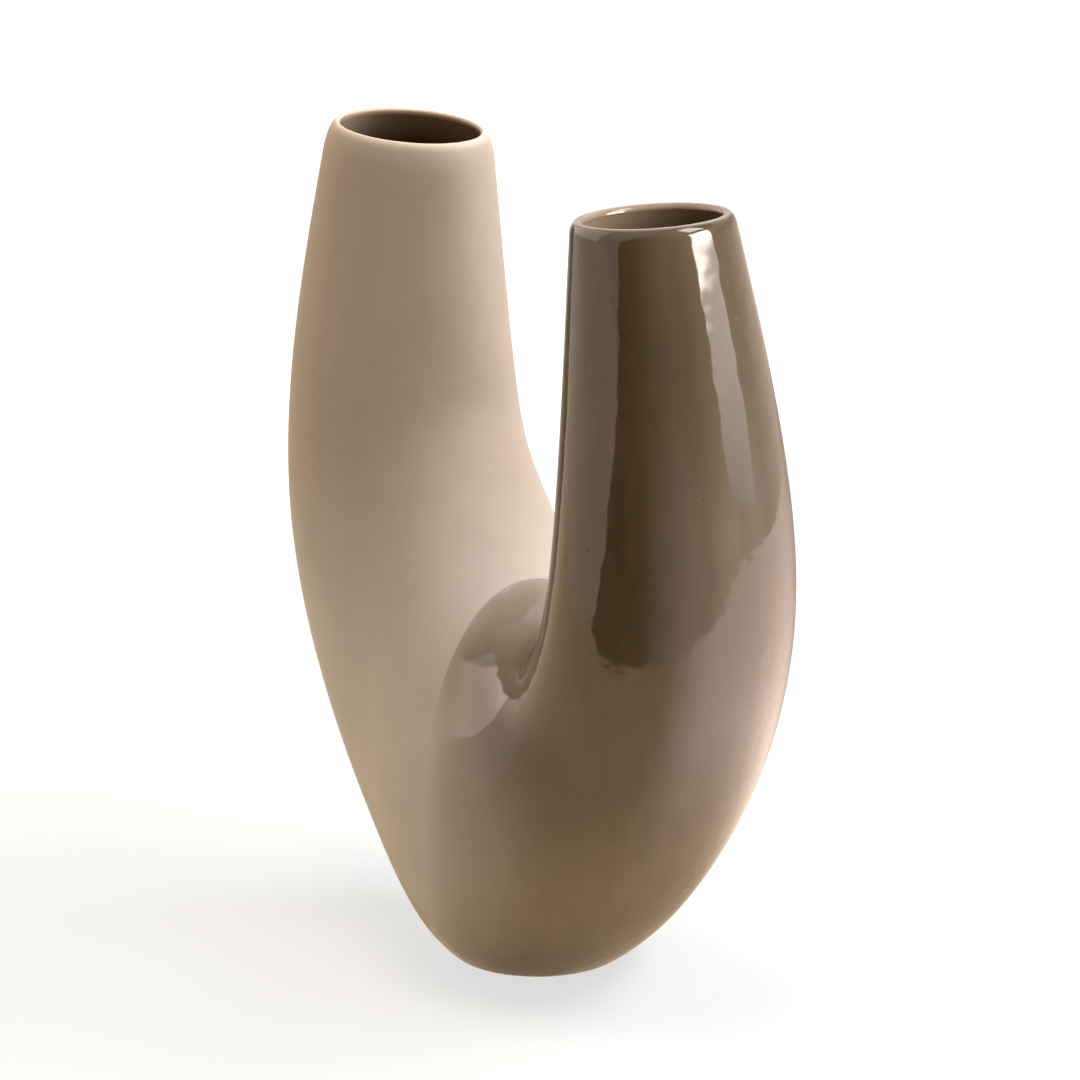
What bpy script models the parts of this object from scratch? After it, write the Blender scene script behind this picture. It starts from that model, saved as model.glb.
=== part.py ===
"""Crescent vase: a stoneware vase bent into a U, with a tall arm and a short arm that both open upwards.

Sizes are in metres. X runs from the tall arm towards the short arm, Y from front to back and Z up from the
foot, with the origin in the middle of the foot's underside.

The body is a loft. Seven sections stand along the crescent, from the tall mouth (section 0) over the keel
(section 3) to the short mouth (section 6). Each is an ellipse from a point of the inner edge to a point of
the outer edge, with its own depth from front to back, and natural splines join them. Every layer of the wall
lies at its own depth under that surface: an outer glaze, the clay and a liner glaze.
"""

import math

import bpy
import numpy as np

# Sections of the tall arm: distances from the middle of the foot towards the tall side, heights and depths.
TALL_MOUTH_INNER_X = 0.036
TALL_MOUTH_INNER_Z = 0.315
TALL_MOUTH_OUTER_X = 0.106
TALL_MOUTH_OUTER_Z = 0.319
TALL_MOUTH_DEPTH = 0.058
TALL_NECK_INNER_X = 0.031
TALL_NECK_INNER_Z = 0.233
TALL_NECK_OUTER_X = 0.125
TALL_NECK_OUTER_Z = 0.148
TALL_NECK_DEPTH = 0.086
TALL_SHOULDER_INNER_X = 0.029
TALL_SHOULDER_INNER_Z = 0.199
TALL_SHOULDER_OUTER_X = 0.057
TALL_SHOULDER_OUTER_Z = 0.016
TALL_SHOULDER_DEPTH = 0.101

# The section in the middle, from the saddle between the arms down to the keel, which the foot cuts flat.
SADDLE_X = -0.002
SADDLE_Z = 0.146
KEEL_X = 0.013
KEEL_BELOW_FOOT = 0.011
BELLY_DEPTH = 0.129

# Sections of the short arm, towards the short side.
SHORT_SHOULDER_INNER_X = 0.036
SHORT_SHOULDER_INNER_Z = 0.149
SHORT_SHOULDER_OUTER_X = 0.075
SHORT_SHOULDER_OUTER_Z = 0.037
SHORT_SHOULDER_DEPTH = 0.113
SHORT_NECK_INNER_X = 0.042
SHORT_NECK_INNER_Z = 0.206
SHORT_NECK_OUTER_X = 0.122
SHORT_NECK_OUTER_Z = 0.152
SHORT_NECK_DEPTH = 0.097
SHORT_MOUTH_INNER_X = 0.041
SHORT_MOUTH_INNER_Z = 0.302
SHORT_MOUTH_OUTER_X = 0.094
SHORT_MOUTH_OUTER_Z = 0.305
SHORT_MOUTH_DEPTH = 0.065

# Layers of the wall, from outside to inside.
COAT = 0.0005
CLAY = 0.0032
LINER = 0.0005
GAP = 0.0003

# Where the arms join the belly and where the two outer glazes meet, as shares of the way from mouth to mouth.
TALL_SEAM_RATIO = 0.27
SHORT_SEAM_RATIO = 0.7
GLAZE_LINE_RATIO = 0.5

# Each arm ends in a spigot that sits in a collar of the belly, on a bed of slip.
SPIGOT = 0.008
SLIP = 0.0015

# The floor is a slab that drops into the open underside of the belly; the glazes are wiped back from the foot.
SLAB = 0.007
FOOT_BARE = 0.001

# Fineness of the meshes; the points of a section crowd towards its outer edge, where the foot is.
ROWS_PER_SECTION = 4
AROUND = 28
CROWDING = 0.4
LIP_STEPS = 4

COLOURS = {
    "clay": (0.46, 0.37, 0.29),
    "slip": (0.40, 0.32, 0.25),
    "matt": (0.42, 0.33, 0.26),
    "gloss": (0.15, 0.10, 0.065),
    "liner": (0.10, 0.066, 0.042),
}

# The same places counted in sections from the tall mouth.
TALL_MOUTH, SHORT_MOUTH = 0.0, 6.0
TALL_SEAM = SHORT_MOUTH * TALL_SEAM_RATIO
SHORT_SEAM = SHORT_MOUTH * SHORT_SEAM_RATIO
GLAZE_LINE = SHORT_MOUTH * GLAZE_LINE_RATIO

# Depths of the layers under the outer surface, and the round lip that all of them share.
CLAY_OUT = COAT + GAP
CLAY_IN = CLAY_OUT + CLAY
CLAY_MIDDLE = (CLAY_OUT + CLAY_IN) / 2
LINER_OUT = CLAY_IN + GAP
LINER_IN = LINER_OUT + LINER
LIP_CLAY = CLAY / 2
LIP_INSIDE = LIP_CLAY + GAP
LIP_OUTSIDE = LIP_INSIDE + COAT

SECTIONS = np.array(
    [
        (-TALL_MOUTH_INNER_X, TALL_MOUTH_INNER_Z, -TALL_MOUTH_OUTER_X, TALL_MOUTH_OUTER_Z, TALL_MOUTH_DEPTH),
        (-TALL_NECK_INNER_X, TALL_NECK_INNER_Z, -TALL_NECK_OUTER_X, TALL_NECK_OUTER_Z, TALL_NECK_DEPTH),
        (
            -TALL_SHOULDER_INNER_X,
            TALL_SHOULDER_INNER_Z,
            -TALL_SHOULDER_OUTER_X,
            TALL_SHOULDER_OUTER_Z,
            TALL_SHOULDER_DEPTH,
        ),
        (SADDLE_X, SADDLE_Z, KEEL_X, -KEEL_BELOW_FOOT, BELLY_DEPTH),
        (
            SHORT_SHOULDER_INNER_X,
            SHORT_SHOULDER_INNER_Z,
            SHORT_SHOULDER_OUTER_X,
            SHORT_SHOULDER_OUTER_Z,
            SHORT_SHOULDER_DEPTH,
        ),
        (SHORT_NECK_INNER_X, SHORT_NECK_INNER_Z, SHORT_NECK_OUTER_X, SHORT_NECK_OUTER_Z, SHORT_NECK_DEPTH),
        (SHORT_MOUTH_INNER_X, SHORT_MOUTH_INNER_Z, SHORT_MOUTH_OUTER_X, SHORT_MOUTH_OUTER_Z, SHORT_MOUTH_DEPTH),
    ]
)
TURNS = np.arange(AROUND) * 2 * math.pi / AROUND
ANGLES = TURNS - CROWDING * np.sin(TURNS)


def natural_bend(values):
    """Second derivatives of the natural cubic spline through values that stand one apart."""
    count = len(values)
    system = np.eye(count)
    bend = np.zeros_like(values)
    for i in range(1, count - 1):
        system[i, i - 1 : i + 2] = (1, 4, 1)
        bend[i] = 6 * (values[i - 1] - 2 * values[i] + values[i + 1])
    return np.linalg.solve(system, bend)


BEND = natural_bend(SECTIONS)


def section(t):
    """Inner point, outer point and depth of the ellipse at t sections from the tall mouth."""
    i = min(max(int(t), 0), len(SECTIONS) - 2)
    b = t - i
    a = 1 - b
    straight = a * SECTIONS[i] + b * SECTIONS[i + 1]
    return straight + ((a**3 - a) * BEND[i] + (b**3 - b) * BEND[i + 1]) / 6


def ellipse(t, angles):
    """Points of the outer surface at t, from the outer edge round by the back to the inner edge."""
    inner_x, inner_z, outer_x, outer_z, depth = section(t)
    x = (inner_x + outer_x) / 2 + (outer_x - inner_x) / 2 * np.cos(angles)
    z = (inner_z + outer_z) / 2 + (outer_z - inner_z) / 2 * np.cos(angles)
    return np.stack([x, depth / 2 * np.sin(angles), z], axis=1)


def along(t):
    """How fast the surface runs from section to section at t, at each angle."""
    step = 1e-3
    return (ellipse(t + step, ANGLES) - ellipse(t - step, ANGLES)) / (2 * step)


def ring(t, depth):
    """Points that lie at this depth straight under the outer surface."""
    step = 1e-3
    across = ellipse(t, ANGLES + step) - ellipse(t, ANGLES - step)
    normals = np.cross(across, along(t))
    normals /= np.linalg.norm(normals, axis=1, keepdims=True)
    return ellipse(t, ANGLES) - depth * normals


def span(t, length):
    """How many sections take up this length at t, where they stand closest."""
    return length / np.linalg.norm(along(t), axis=1).min()


def mean_span(t, length):
    return length / np.linalg.norm(along(t), axis=1).mean()


class Arm:
    """Stations of one arm: its lip, its seam with the belly and the steps of the joint there."""

    def __init__(self, mouth, seam, down):
        self.mouth = mouth
        self.down = down
        gap = span(seam, GAP)
        bed = mean_span(seam, SLIP)
        self.shoulder = seam
        self.slip_top = seam + down * gap
        self.slip_end = self.slip_top + down * bed
        self.collar = self.slip_end + down * gap
        self.spigot = self.collar + down * mean_span(seam, SPIGOT)
        self.ledge = self.spigot + down * gap
        self.lip_foot = mouth + down * mean_span(mouth, LIP_OUTSIDE)
        self.liner_top = self.lip_foot + down * span(mouth, GAP)

    def lip(self, radius):
        """Half circle over the wall's edge, from outside to inside, as stations and depths."""
        turns = np.linspace(0, math.pi, LIP_STEPS + 1)
        drops = LIP_OUTSIDE - radius * np.sin(turns)
        return [
            (self.mouth + self.down * mean_span(self.mouth, drop), CLAY_MIDDLE - radius * math.cos(turn))
            for drop, turn in zip(drops, turns)
        ]

    def rows(self):
        return [self.shoulder, self.slip_top, self.slip_end, self.collar, self.spigot, self.ledge, self.liner_top]


TALL = Arm(TALL_MOUTH, TALL_SEAM, 1)
SHORT = Arm(SHORT_MOUTH, SHORT_SEAM, -1)
MATT_END = GLAZE_LINE - span(GLAZE_LINE, GAP) / 2
GLOSS_END = GLAZE_LINE + span(GLAZE_LINE, GAP) / 2


def all_rows():
    """Rows that every layer shares, so that neighbouring layers nest: the joints' own rows and even ones between."""
    fixed = TALL.rows() + SHORT.rows() + [MATT_END, GLOSS_END]
    apart = 0.4 / ROWS_PER_SECTION
    even = np.linspace(TALL_MOUTH, SHORT_MOUTH, int(SHORT_MOUTH * ROWS_PER_SECTION) + 1)
    kept = [t for t in even if min(abs(t - f) for f in fixed) > apart]
    low, high = TALL.liner_top, SHORT.liner_top
    return sorted(t for t in fixed + kept if low <= t <= high)


ROWS = all_rows()


def walk(start, end, depth):
    """Stations from start to end at one depth, by way of the shared rows between them."""
    low, high = min(start, end), max(start, end)
    between = [t for t in ROWS if low + 1e-6 < t < high - 1e-6]
    if end < start:
        between.reverse()
    return [(t, depth) for t in [start, *between, end]]


def collections():
    """The part's own collection and one for the cutters, which no render shows."""
    made = []
    for name in ("crescent_vase", "cutters"):
        collection = bpy.data.collections.new(name)
        bpy.context.scene.collection.children.link(collection)
        made.append(collection)
    made[1].hide_render = True
    return made


def material(name, colour, roughness, coat=0.0):
    made = bpy.data.materials.new(name)
    made.use_nodes = True
    shader = made.node_tree.nodes["Principled BSDF"]
    shader.inputs["Base Color"].default_value = (*colour, 1.0)
    shader.inputs["Roughness"].default_value = roughness
    shader.inputs["Metallic"].default_value = 0.0
    shader.inputs["Coat Weight"].default_value = coat
    made.diffuse_color = (*colour, 1.0)
    return made


def mesh_object(name, points, faces, collection):
    mesh = bpy.data.meshes.new(name)
    mesh.from_pydata(points.tolist(), [], faces)
    mesh.validate()
    mesh.shade_smooth()
    mesh.set_sharp_from_angle(angle=math.radians(50))
    made = bpy.data.objects.new(name, mesh)
    collection.objects.link(made)
    return made


def dress(piece, root, surface):
    piece.data.materials.append(surface)
    piece.parent = root


def side_faces(first, second, rising):
    """Triangles between two rings of points, given by the numbers of their first points.

    Each quad is split along the same diagonal whether the outline rises or falls from section to section, so that
    the two faces of a thin layer stay parallel.
    """
    faces = []
    for j in range(AROUND):
        k = (j + 1) % AROUND
        if rising:
            faces += [(first + j, first + k, second + k), (first + j, second + k, second + j)]
        else:
            faces += [(first + j, first + k, second + j), (first + k, second + k, second + j)]
    return faces


def shell(name, outline, collection, floor=None):
    """Closed shell that carries an outline of stations and depths round the crescent.

    The outline goes round its piece with the piece on the same hand all the way. A floor gives the least height
    of each depth, where the shell lies flat on the slab.
    """
    rings = []
    for t, depth in outline:
        points = ring(t, depth)
        if floor is not None:
            points[:, 2] = np.maximum(points[:, 2], floor(depth))
        rings.append(points)
    faces = []
    for i in range(len(rings)):
        after = (i + 1) % len(rings)
        faces += side_faces(i * AROUND, after * AROUND, outline[after][0] > outline[i][0])
    return mesh_object(name, np.concatenate(rings), faces, collection)


def block(name, bottom, top, collection):
    """Box between two heights, wider than the vase."""
    reach = 1.5 * np.abs(SECTIONS).max()
    made = np.array([(x, y, z) for z in (bottom, top) for y in (-reach, reach) for x in (-reach, reach)])
    faces = [(0, 2, 3, 1), (4, 5, 7, 6), (0, 1, 5, 4), (2, 6, 7, 3), (0, 4, 6, 2), (1, 3, 7, 5)]
    box = mesh_object(name, made, faces, collection)
    box.display_type = "WIRE"
    box.hide_render = True
    return box


def cut(piece, cutter, operation):
    boolean = piece.modifiers.new(cutter.name, "BOOLEAN")
    boolean.operation = operation
    boolean.solver = "EXACT"
    boolean.object = cutter


def arm_shell(name, arm, collection):
    """Clay tube of one arm: a round lip above, and below it the inner half of the wall runs on as a spigot."""
    lip = arm.lip(LIP_CLAY)
    outline = walk(arm.shoulder, lip[0][0], CLAY_OUT)[:-1]
    outline += lip
    outline += walk(lip[-1][0], arm.spigot, CLAY_IN)[1:]
    outline += walk(arm.spigot, arm.shoulder, CLAY_MIDDLE)
    return shell(name, outline[:: -arm.down], collection)


def belly_shell(collection, foot_cutter):
    """Clay keel: collars that take the arms' spigots, and an underside that the foot's plane cuts open."""
    collar = CLAY_MIDDLE - GAP
    outline = walk(TALL.collar, SHORT.collar, CLAY_OUT)
    outline += walk(SHORT.collar, SHORT.ledge, collar)
    outline += walk(SHORT.ledge, TALL.ledge, CLAY_IN)
    outline += walk(TALL.ledge, TALL.collar, collar)
    made = shell("belly", outline, collection)
    cut(made, foot_cutter, "DIFFERENCE")
    return made


def slip_bed(name, arm, collection):
    """Ring of fired slip between an arm's shoulder and the belly's collar."""
    outline = walk(arm.slip_end, arm.slip_top, CLAY_OUT)
    outline += walk(arm.slip_top, arm.slip_end, CLAY_MIDDLE - GAP)
    return shell(name, outline[:: -arm.down], collection)


def coat_shell(name, arm, end, collection, wipe_cutter):
    """Outer glaze of one arm and its side of the belly, rolled over the lip and wiped back from the foot."""
    over, under = arm.lip(LIP_OUTSIDE), arm.lip(LIP_INSIDE)
    outline = walk(end, over[0][0], 0.0)[:-1]
    outline += over
    outline += under[::-1]
    outline += walk(under[0][0], end, COAT)[1:]
    made = shell(name, outline[:: -arm.down], collection)
    cut(made, wipe_cutter, "DIFFERENCE")
    return made


def liner_shell(collection):
    """Inner glaze from lip to lip, which lies flat on the slab."""

    def floor(depth):
        return SLAB + GAP + depth - LINER_OUT

    outline = walk(TALL.liner_top, SHORT.liner_top, LINER_OUT)
    outline += walk(SHORT.liner_top, TALL.liner_top, LINER_IN)
    return shell("liner", outline, collection, floor)


def floor_slab(collection, slab_block):
    """Slab that fills the belly's open underside: what lies inside the wall there, between two level planes."""
    stations = walk(TALL.ledge, SHORT.ledge, LINER_OUT)
    rings = [ring(t, depth) for t, depth in stations]
    last = (len(rings) - 1) * AROUND
    faces = [tuple(reversed(range(AROUND))), tuple(last + j for j in range(AROUND))]
    for i in range(len(rings) - 1):
        faces += side_faces(i * AROUND, (i + 1) * AROUND, True)
    made = mesh_object("foot_slab", np.concatenate(rings), faces, collection)
    cut(made, slab_block, "INTERSECT")
    return made


def main():
    for old in list(bpy.data.objects):
        bpy.data.objects.remove(old, do_unlink=True)
    parts, cutters = collections()
    root = bpy.data.objects.new("vase_root", None)
    parts.objects.link(root)

    under = -10 * KEEL_BELOW_FOOT
    foot_cutter = block("foot_cutter", under, 0.0, cutters)
    wipe_cutter = block("wipe_cutter", under, FOOT_BARE, cutters)
    slab_block = block("slab_block", 0.0, SLAB, cutters)

    clay = material("clay", COLOURS["clay"], 0.8)
    slip = material("slip", COLOURS["slip"], 0.85)
    matt = material("matt_glaze", COLOURS["matt"], 0.55)
    gloss = material("gloss_glaze", COLOURS["gloss"], 0.12, coat=0.5)
    lining = material("liner_glaze", COLOURS["liner"], 0.15, coat=0.5)

    dress(arm_shell("tall_arm", TALL, parts), root, clay)
    dress(arm_shell("short_arm", SHORT, parts), root, clay)
    dress(belly_shell(parts, foot_cutter), root, clay)
    dress(floor_slab(parts, slab_block), root, clay)
    dress(slip_bed("tall_slip_bed", TALL, parts), root, slip)
    dress(slip_bed("short_slip_bed", SHORT, parts), root, slip)
    dress(coat_shell("matt_coat", TALL, MATT_END, parts, wipe_cutter), root, matt)
    dress(coat_shell("gloss_coat", SHORT, GLOSS_END, parts, wipe_cutter), root, gloss)
    dress(liner_shell(parts), root, lining)


main()
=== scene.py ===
"""Crescent vase: finely lofted clay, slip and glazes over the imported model, with its studio stage.

The wall follows one loft. Seven elliptical sections stand along the crescent, from the tall mouth (0) over
the keel (3) to the short mouth (6), with natural splines between them. Every layer of the wall is the same
loft at its own depth under the outer surface. Lengths are in metres, and the stage's angles in degrees.
"""

import math

import bmesh
import bpy
import numpy as np
from bpy.props import FloatProperty, FloatVectorProperty, IntProperty, PointerProperty
from mathutils import Matrix, Vector


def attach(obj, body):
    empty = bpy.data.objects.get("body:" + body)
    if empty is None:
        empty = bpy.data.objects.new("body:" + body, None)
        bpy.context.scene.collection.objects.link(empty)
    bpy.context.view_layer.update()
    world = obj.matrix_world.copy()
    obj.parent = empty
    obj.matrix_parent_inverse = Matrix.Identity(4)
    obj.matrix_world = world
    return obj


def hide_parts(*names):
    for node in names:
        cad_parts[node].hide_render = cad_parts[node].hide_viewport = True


bl_info = {
    "name": "Crescent vase",
    "version": (1, 0, 0),
    "blender": (4, 5, 0),
    "location": "3D View > Sidebar > Vase",
    "description": "Builds the glazed two-armed vase and the stage it stands on",
    "category": "Add Mesh",
}

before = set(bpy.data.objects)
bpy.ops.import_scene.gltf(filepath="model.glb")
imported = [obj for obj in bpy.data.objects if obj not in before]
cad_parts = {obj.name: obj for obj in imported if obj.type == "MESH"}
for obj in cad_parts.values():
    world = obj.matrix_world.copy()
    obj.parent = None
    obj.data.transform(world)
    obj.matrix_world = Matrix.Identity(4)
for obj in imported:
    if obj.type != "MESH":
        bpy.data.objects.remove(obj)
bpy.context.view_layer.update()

SECTION_NAMES = (
    "tall_mouth",
    "tall_neck",
    "tall_shoulder",
    "middle",
    "short_shoulder",
    "short_neck",
    "short_mouth",
)
LAST_SECTION = len(SECTION_NAMES) - 1

# Columns of a profile's rows: the place on the crescent, and the depth under the outer surface
PLACE = slice(0, 4)
DEPTH = 4

# Points of a section crowd by this share towards its outer side
CROWDING = 0.3
# Edges that turn by more than this stay sharp
SHARP_TURN = math.radians(50)
# What is left open where two glazes meet
HAIRLINE = 0.00002
# Heights closer than this are the same level
SAME_LEVEL = 1e-6

# Swoop of the glaze line, in sections: how far it runs to the short arm, at what cosine over the side,
# and how fast it falls back from there towards the saddle and towards the keel
SWOOP_PEAK = 0.18
SWOOP_SIDE = 0.1
SWOOP_SADDLE_FALL = 0.3
SWOOP_KEEL_FALL = 0.85

# Part of the cloud pattern's range over which a glaze changes
CLOUDY = (0.3, 0.7)
# Heights between which each glaze turns to its lighter low colour, which is painted light bounced up from the
# table
MATT_FALL = (0.2, 0.115)
GLOSS_FALL = (0.11, 0.045)
# Heights between which the gloss glaze's edge changes from the belly's to the saddle's
REACH_CLIMB = (0.05, 0.13)
SADDLE_CLIMB = (0.095, 0.135)
CROOK_CLIMB = (0.105, 0.13)
# How far from the glaze line the gloss glaze is thin, dull and dry, on the belly and on the saddle; on the
# saddle the thin reach is stretched as painted light in the crease
THIN_REACH = (0.095, 0.05)
DULL_REACH = (0.095, 0.028)
DRY_REACH = (0.012, 0.0015)
# How far and how strongly the crook of the short arm turns to the matt colour, as painted light falling into
# the crease, and how thin the glaze gets on the saddle
CROOK_REACH = 0.1
CROOK_PAINTED_LIGHT = 0.46
SADDLE_THIN = 0.6
# How far its edge wanders
LINE_WANDER = 0.006
# How far below its crest the matt lip is pale, partly thin glaze and partly a painted highlight on the crest,
# and the depths between which the gloss lip turns pale
PALE_LIP = 0.0035
PALE_ROUND = (0.0007, 0.0019)
# How far inside a lip's crest the inner glaze starts, how softly, and between what runs from the lip it turns
# lighter, partly thin glaze and partly painted light falling into the mouth
PAST_CREST = 0.0006
MATT_BLUR = 0.0005
GLOSS_BLUR = 0.0008
LINER_RISE = (0.019, 0.001)
# Heights of the bumps in a glaze and in bare clay
GLAZE_BUMP = 0.0006
CLAY_BUMP = 0.0005

# Soft lamps, named after their power: azimuth, elevation, width and height, tint
SOFT_BOXES = {
    "key": (124.0, 58.0, (0.7, 0.7), (0.79, 0.88, 1.0)),
    "back": (157.0, 42.0, (0.9, 0.7), (0.69, 0.82, 1.0)),
    "top": (0.0, 86.0, (0.7, 0.7), (1.0, 0.98, 0.90)),
    "left": (-90.0, 6.0, (0.9, 0.4), (1.0, 0.92, 0.62)),
}
SOFT_BOX_DISTANCE = 1.6
SOFT_BOX_AIM = Vector((0.0, 0.0, 0.17))
SENSOR_WIDTH_MM = 36.0
WHITE = (1.0, 1.0, 1.0, 1.0)
TABLE_HALF = 4.0

# What the gloss mirrors: directions of its lights, and distances and heights of the room round the vase
UP = np.array([0.0, 0.0, 1.0])
LIGHT_BOX_AZIMUTH = 122.0
POOL_BRIGHT_AZIMUTH = 105.0
POOL_COVER_AZIMUTH = 165.0
TABLE_FRONT = 0.43
ROOM_BACK = -1.2
CEILING = 2.0
LEFT_WALL_AZIMUTH = -14.0
LEFT_WALL_DISTANCE = 0.8
LEFT_WALL_LENGTH = 7.0
LEFT_WALL_NEAR_END = -0.4
WINDOW_SILL = 0.41
WINDOW_LINTEL = 1.77
RIGHT_WALL_AZIMUTHS = (100, 235)
RIGHT_WALL_DISTANCE = 1.3
RIGHT_WALL_HEIGHT = 0.75
WOOD_REACH = (0.02, 1.6)
WOOD_LIFT = 0.001
POOL_AZIMUTHS = (60, 245)
POOL_REACH = (0.06, 1.3)
POOL_LIFT = 0.002
LAMP_DISTANCE = 1.2
LIPS = 0.3 * UP
NECK_HEIGHT = 0.2
CARD_STEPS = 9
RING_STEP = 5


def number(name, description, default, **kind):
    """A number, with the unit or subtype that fits it."""
    return FloatProperty(name=name, description=description, default=default, **kind)


def length(name, description, default):
    """A size in metres."""
    return number(name, description, default, unit="LENGTH", precision=4)


def angle(name, description, degrees):
    """An angle, given in degrees."""
    return number(name, description, math.radians(degrees), subtype="ANGLE")


def power(name, where, watts):
    """Power of a soft light."""
    return number(name, "Power of the soft light " + where, watts, unit="POWER")


def edge_point(name, x, z):
    """A point of the crescent's side view: distance along X and height."""
    return FloatVectorProperty(
        name=name,
        description="Distance from the middle of the foot, and height",
        size=2,
        default=(x, z),
        unit="LENGTH",
        precision=4,
    )


def depth(name, default):
    """A section's width from front to back."""
    return length(name, "Width of the section from front to back", default)


def colour(name, description, default):
    """A linear colour."""
    return FloatVectorProperty(
        name=name, description=description, size=3, default=default, subtype="COLOR", min=0, max=1
    )


class VaseShape(bpy.types.PropertyGroup):
    """The seven sections of the crescent."""

    tall_mouth_inner: edge_point("Tall mouth, inner", -0.036, 0.315)
    tall_mouth_outer: edge_point("Tall mouth, outer", -0.106, 0.319)
    tall_mouth_depth: depth("Tall mouth, depth", 0.058)
    tall_neck_inner: edge_point("Tall neck, inner", -0.031, 0.233)
    tall_neck_outer: edge_point("Tall neck, outer", -0.125, 0.148)
    tall_neck_depth: depth("Tall neck, depth", 0.086)
    tall_shoulder_inner: edge_point("Tall shoulder, inner", -0.029, 0.199)
    tall_shoulder_outer: edge_point("Tall shoulder, outer", -0.057, 0.016)
    tall_shoulder_depth: depth("Tall shoulder, depth", 0.101)
    middle_inner: edge_point("Saddle", -0.002, 0.146)
    middle_outer: edge_point("Keel", 0.013, -0.011)
    middle_depth: depth("Belly, depth", 0.129)
    short_shoulder_inner: edge_point("Short shoulder, inner", 0.036, 0.149)
    short_shoulder_outer: edge_point("Short shoulder, outer", 0.075, 0.037)
    short_shoulder_depth: depth("Short shoulder, depth", 0.113)
    short_neck_inner: edge_point("Short neck, inner", 0.042, 0.206)
    short_neck_outer: edge_point("Short neck, outer", 0.122, 0.152)
    short_neck_depth: depth("Short neck, depth", 0.097)
    short_mouth_inner: edge_point("Short mouth, inner", 0.041, 0.302)
    short_mouth_outer: edge_point("Short mouth, outer", 0.094, 0.305)
    short_mouth_depth: depth("Short mouth, depth", 0.065)


class VaseLayers(bpy.types.PropertyGroup):
    """Thicknesses of the wall's layers, and where its joints and glazes meet."""

    coat: length("Outer glaze", "Thickness of the outer glazes", 0.0005)
    clay: length("Clay", "Thickness of the clay", 0.0032)
    liner: length("Inner glaze", "Thickness of the inner glaze", 0.0005)
    gap: length("Clearance", "Clearance between layers", 0.0003)
    spigot: length("Spigot", "Length of the spigot under each arm", 0.008)
    slip: length("Slip", "Height of the slip between an arm and the belly", 0.0015)
    slab: length("Floor", "Thickness of the floor", 0.007)
    foot_bare: length("Bare foot", "Height of the unglazed line round the foot", 0.001)
    tall_seam: number("Tall seam", "Place of the tall arm's joint, in sections", 1.62)
    short_seam: number("Short seam", "Place of the short arm's joint, in sections", 4.2)
    glaze_line: number("Glaze line", "Where the glazes meet, in sections", 3.0)
    tall_crest: length("Tall crest", "How far under the outside the tall lip is highest", 0.0035)
    tall_round: length("Tall rounding", "Height of the tall lip's outer rounding", 0.012)
    short_crest: length("Short crest", "How far under the outside the short lip is highest", 0.0026)
    short_round: length("Short rounding", "Height of the short lip's outer rounding", 0.005)
    rows: IntProperty(name="Rows", description="Rows of points in one section", default=36, min=4)
    around: IntProperty(name="Around", description="Points round each section", default=160, min=16)


class VaseColours(bpy.types.PropertyGroup):
    """Colours of the clay and the glazes."""

    matt: colour("Matt glaze", "Light taupe glaze of the tall side", (0.505, 0.370, 0.272))
    # Painted light: the low matt colour is lighter, standing in for light bounced up from the table
    matt_bounce_lit: colour("Low matt glaze", "Matt glaze low on the belly", (0.615, 0.49, 0.38))
    gloss: colour("Gloss glaze", "Brown glaze of the short side", (0.094, 0.054, 0.024))
    # Painted light: the low gloss colour is lighter, standing in for light bounced up from the table
    gloss_bounce_lit: colour("Low gloss glaze", "Gloss glaze low on the belly", (0.195, 0.121, 0.062))
    gloss_thin: colour("Thin gloss glaze", "Gloss glaze where it thins at the lip", (0.37, 0.272, 0.20))
    # Painted shade: the inner glaze is set darker than its own brown, for the shade deep inside the arms
    liner: colour("Inner glaze", "Dark brown glaze of the inside", (0.055, 0.022, 0.006))
    # Partly painted light: the inner glaze near the lips is thin there and lightened for the light that falls
    # into the mouth
    liner_thin_and_lit: colour("Thin inner glaze", "Inner glaze where it thins at the lips", (0.46, 0.30, 0.172))
    clay: colour("Clay", "Bare fired stoneware", (0.46, 0.37, 0.29))
    slip: colour("Slip", "Fired joining slip", (0.40, 0.32, 0.25))


class VaseStage(bpy.types.PropertyGroup):
    """Camera and lights."""

    azimuth: angle("Azimuth", "Camera's turn round the vase", 49.0)
    elevation: angle("Elevation", "Camera's angle over the floor", 16.285)
    distance: length("Distance", "Distance from the camera to its aim", 1.6211)
    aim: FloatVectorProperty(
        name="Aim",
        description="Point that the camera looks at",
        size=3,
        default=(0.0054, 0.0, 0.1667),
        subtype="XYZ",
        unit="LENGTH",
        precision=4,
    )
    lens: number("Lens", "Focal length on a sensor 36 mm wide", 141.16, unit="CAMERA")
    key: power("Key light", "at the right", 17.2)
    back: power("Back light", "at the back right", 25.0)
    top: power("Top light", "overhead", 17.0)
    left: power("Left light", "low at the left", 8.4)
    ambient: number("Ambient", "Strength of the even light from all round", 0.04)


def natural_bends(values):
    """Second derivatives of natural cubic splines through rows that stand one apart.

    Each inner row takes one of its neighbours on either side and four of itself, which equals six times the
    second difference of the values; the ends don't bend.
    """
    count = len(values)
    inner = np.arange(1, count - 1)
    system = np.eye(count)
    system[inner, inner] = 4
    system[inner, inner - 1] = 1
    system[inner, inner + 1] = 1
    right = np.zeros_like(values)
    right[1:-1] = 6 * np.diff(values, 2, axis=0)
    return np.linalg.solve(system, right)


def with_width(side_view, across):
    """Points or directions in space: X and Z from the side view, and Y across it."""
    return np.concatenate([side_view[..., 0:1], across, side_view[..., 1:2]], axis=2)


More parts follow.
